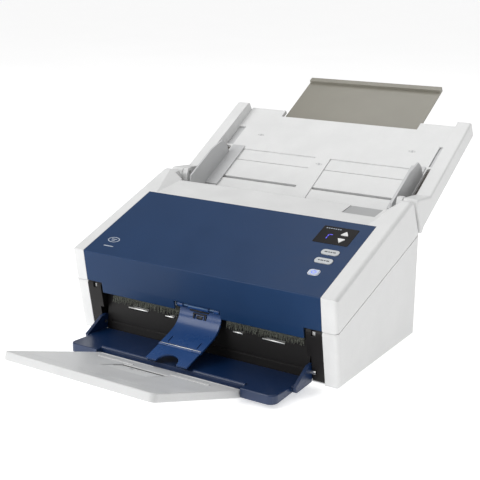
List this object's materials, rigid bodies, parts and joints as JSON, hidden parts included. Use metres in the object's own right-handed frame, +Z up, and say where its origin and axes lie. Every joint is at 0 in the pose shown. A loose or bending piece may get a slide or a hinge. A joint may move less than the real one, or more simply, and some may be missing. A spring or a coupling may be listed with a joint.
{
  "type": "sheet fed document scanner",
  "caption": "Desktop sheet fed scanner with sloping front cover, folding input tray with sliding side guides and folding output tray with drop flap.",
  "frame": {"origin": "on the table, centred under the object's box with both trays open", "axes": "+X to the machine's right seen from the front, +Y to the back, +Z up"},
  "size_m": [0.316, 0.585, 0.2475],
  "materials": {
    "white_shell": "fine moulded texture, satin",
    "white_tray": "fine moulded texture, satin",
    "navy_cover": "smooth satin",
    "navy_tray": "smooth satin",
    "black_bay": "moulded, matt",
    "grey_guides": "satin",
    "smoky_plate": "smoke-tinted translucent plastic, gloss",
    "latch_silver": "satin silver-grey",
    "display_glass": "polished",
    "button_caps": "satin light grey",
    "power_cap": "satin, lit rim",
    "arrow_caps": "satin white",
    "brush_fibre": "stiff anti-static bristles",
    "rubber": "matt",
    "steel": "satin",
    "gear_plastic": "moulded acetal",
    "dark_plastic": "moulded, satin",
    "clear_glass": "polished",
    "circuit_board": "solder mask"
  },
  "bodies": {
    "base": {"base_shell": "white_shell", "bottom_cover": "white_shell", "rubber_feet": "rubber", "housing_screws": "steel", "output_bay": "black_bay", "cover_pins": "steel", "discharge_bar": "steel", "exit_brush": "brush_fibre", "side_plates": "steel", "shaft_bushings": "gear_plastic", "lower_guide": "white_shell", "lower_scan_module": "dark_plastic", "lower_scan_glass": "clear_glass", "drive_motor": "steel", "drive_belt": "rubber", "main_board": "circuit_board", "power_inlet": "dark_plastic", "usb_socket": "dark_plastic", "tray_brackets": "white_shell"},
    "motor_rotor": {"motor_pinion": "steel"},
    "middle_gear": {"middle_gear": "gear_plastic"},
    "transport_roller": {"transport_shaft": "steel", "transport_tyres": "rubber", "transport_gear": "gear_plastic"},
    "pick_roller": {"pick_shaft": "steel", "pick_tyres": "rubber", "pick_gear": "gear_plastic"},
    "exit_roller": {"exit_shaft": "steel", "exit_tyres": "rubber"},
    "upper_unit": {"upper_frame": "white_shell", "blue_cover": "navy_cover", "display_window": "display_glass", "panel_board": "circuit_board", "upper_guide": "dark_plastic", "upper_scan_module": "dark_plastic", "upper_scan_glass": "clear_glass", "flap_pin": "steel"},
    "separation_roller": {"separation_roller": "rubber"},
    "transport_idler": {"transport_idler": "rubber"},
    "exit_idler": {"exit_idler": "rubber"},
    "send_button": {"send_button": "button_caps"},
    "function_button": {"function_button": "button_caps"},
    "power_button": {"power_button": "power_cap"},
    "up_button": {"up_button": "arrow_caps"},
    "down_button": {"down_button": "arrow_caps"},
    "cover_release": {"cover_release": "latch_silver"},
    "guide_flap": {"guide_flap": "navy_tray"},
    "flap_tip": {"flap_tip": "navy_tray"},
    "output_tray": {"output_tray": "navy_tray", "tray_pins": "steel"},
    "output_extension": {"output_extension": "white_tray"},
    "paper_stop": {"paper_stop": "white_tray"},
    "input_tray": {"input_tray": "white_shell", "tray_back_cover": "white_shell", "input_tray_pins": "steel"},
    "tray_extension": {"tray_extension": "smoky_plate"},
    "guide_left": {"guide_left": "grey_guides"},
    "guide_right": {"guide_right": "grey_guides"},
    "guide_pinion": {"guide_pinion": "gear_plastic"}
  },
  "joints": [
    {"name": "transport_spin", "type": "hinge", "parent": "base", "child": "transport_roller", "pos_m": [0, -0.00199, 0.08187], "axis": [1, 0, 0], "continuous": true},
    {"name": "middle_gear_spin", "type": "hinge", "parent": "base", "child": "middle_gear", "pos_m": [0, 0.02001, 0.06999], "axis": [1, 0, 0], "continuous": true},
    {"name": "pick_spin", "type": "hinge", "parent": "base", "child": "pick_roller", "pos_m": [0, 0.03209, 0.09187], "axis": [1, 0, 0], "continuous": true},
    {"name": "motor_spin", "type": "hinge", "parent": "base", "child": "motor_rotor", "pos_m": [0, -0.00512, 0.06414], "axis": [1, 0, 0], "continuous": true},
    {"name": "exit_spin", "type": "hinge", "parent": "base", "child": "exit_roller", "pos_m": [0, -0.06935, 0.05681], "axis": [1, 0, 0], "continuous": true},
    {"name": "upper_open", "type": "hinge", "parent": "base", "child": "upper_unit", "pos_m": [0, -0.1043, 0.058], "axis": [1, 0, 0], "range_deg": [0, 55]},
    {"name": "separation_spin", "type": "hinge", "parent": "upper_unit", "child": "separation_roller", "pos_m": [0, 0.02403, 0.11266], "axis": [1, 0, 0], "continuous": true},
    {"name": "transport_idler_spin", "type": "hinge", "parent": "upper_unit", "child": "transport_idler", "pos_m": [0, -0.00789, 0.09707], "axis": [1, 0, 0], "continuous": true},
    {"name": "exit_idler_spin", "type": "hinge", "parent": "upper_unit", "child": "exit_idler", "pos_m": [0, -0.07452, 0.07015], "axis": [1, 0, 0], "continuous": true},
    {"name": "flap_swing", "type": "hinge", "parent": "base", "child": "guide_flap", "pos_m": [0, -0.1043, 0.058], "axis": [1, 0, 0], "range_deg": [-114.4, 0]},
    {"name": "flap_tip_fold", "type": "hinge", "parent": "guide_flap", "child": "flap_tip", "pos_m": [0, -0.1379, 0.0253], "axis": [-1, 0, 0], "range_deg": [0, 50]},
    {"name": "output_tray_fold", "type": "hinge", "parent": "base", "child": "output_tray", "pos_m": [0, -0.1023, 0.018], "axis": [1, 0, 0], "range_deg": [-68, 0]},
    {"name": "extension_fold", "type": "hinge", "parent": "output_tray", "child": "output_extension", "pos_m": [0, -0.1603, 0.0056], "axis": [-1, 0, 0], "range_deg": [0, 35]},
    {"name": "paper_stop_lift", "type": "hinge", "parent": "output_extension", "child": "paper_stop", "pos_m": [0, -0.22487, 0.03138], "axis": [1, 0, 0], "range_deg": [0, 80]},
    {"name": "input_tray_fold", "type": "hinge", "parent": "base", "child": "input_tray", "pos_m": [0, 0.0697, 0.152], "axis": [-1, 0, 0], "range_deg": [-145, 0]},
    {"name": "tray_extension_slide", "type": "slide", "parent": "input_tray", "child": "tray_extension", "axis": [0, 0.866, 0.5], "range_m": [-0.078, 0]},
    {"name": "guide_slide", "type": "slide", "parent": "input_tray", "child": "guide_left", "axis": [1, 0, 0], "range_m": [0, 0.06]},
    {"name": "guide_right_slide", "type": "slide", "parent": "input_tray", "child": "guide_right", "axis": [1, 0, 0], "range_m": [-0.06, 0]},
    {"name": "guide_pinion_spin", "type": "hinge", "parent": "input_tray", "child": "guide_pinion", "pos_m": [0, 0.10797, 0.14425], "axis": [0, -0.5, 0.866], "range_deg": [-430, 0]},
    {"name": "send_press", "type": "slide", "parent": "upper_unit", "child": "send_button", "axis": [0, 0.3404, -0.9403], "range_m": [0, 0.0006], "stiffness_N_per_m": 400, "springref_m": -0.0006},
    {"name": "function_press", "type": "slide", "parent": "upper_unit", "child": "function_button", "axis": [0, 0.3404, -0.9403], "range_m": [0, 0.0006], "stiffness_N_per_m": 400, "springref_m": -0.0006},
    {"name": "power_press", "type": "slide", "parent": "upper_unit", "child": "power_button", "axis": [0, 0.3404, -0.9403], "range_m": [0, 0.0006], "stiffness_N_per_m": 400, "springref_m": -0.0006},
    {"name": "up_press", "type": "slide", "parent": "upper_unit", "child": "up_button", "axis": [0, 0.3404, -0.9403], "range_m": [0, 0.0006], "stiffness_N_per_m": 400, "springref_m": -0.0006},
    {"name": "down_press", "type": "slide", "parent": "upper_unit", "child": "down_button", "axis": [0, 0.3404, -0.9403], "range_m": [0, 0.0006], "stiffness_N_per_m": 400, "springref_m": -0.0006},
    {"name": "cover_release_lift", "type": "hinge", "parent": "upper_unit", "child": "cover_release", "pos_m": [0, 0.02608, 0.14205], "axis": [1, 0, 0], "range_deg": [0, 18], "stiffness_Nm_per_rad": 0.02, "springref_deg": -6.88}
  ],
  "couplings": [
    {"joint": "middle_gear_spin", "follows": "transport_spin", "ratio": -0.92308},
    {"joint": "pick_spin", "follows": "transport_spin", "ratio": 1},
    {"joint": "motor_spin", "follows": "transport_spin", "ratio": -2},
    {"joint": "exit_spin", "follows": "transport_spin", "ratio": 1},
    {"joint": "separation_spin", "follows": "transport_spin", "ratio": -1.2},
    {"joint": "transport_idler_spin", "follows": "transport_spin", "ratio": -1.2857},
    {"joint": "exit_idler_spin", "follows": "transport_spin", "ratio": -1.3333},
    {"joint": "flap_swing", "follows": "output_tray_fold", "ratio": 1.681},
    {"joint": "guide_right_slide", "follows": "guide_slide", "ratio": -1},
    {"joint": "guide_pinion_spin", "follows": "guide_slide", "rad_per_m": -125}
  ]
}
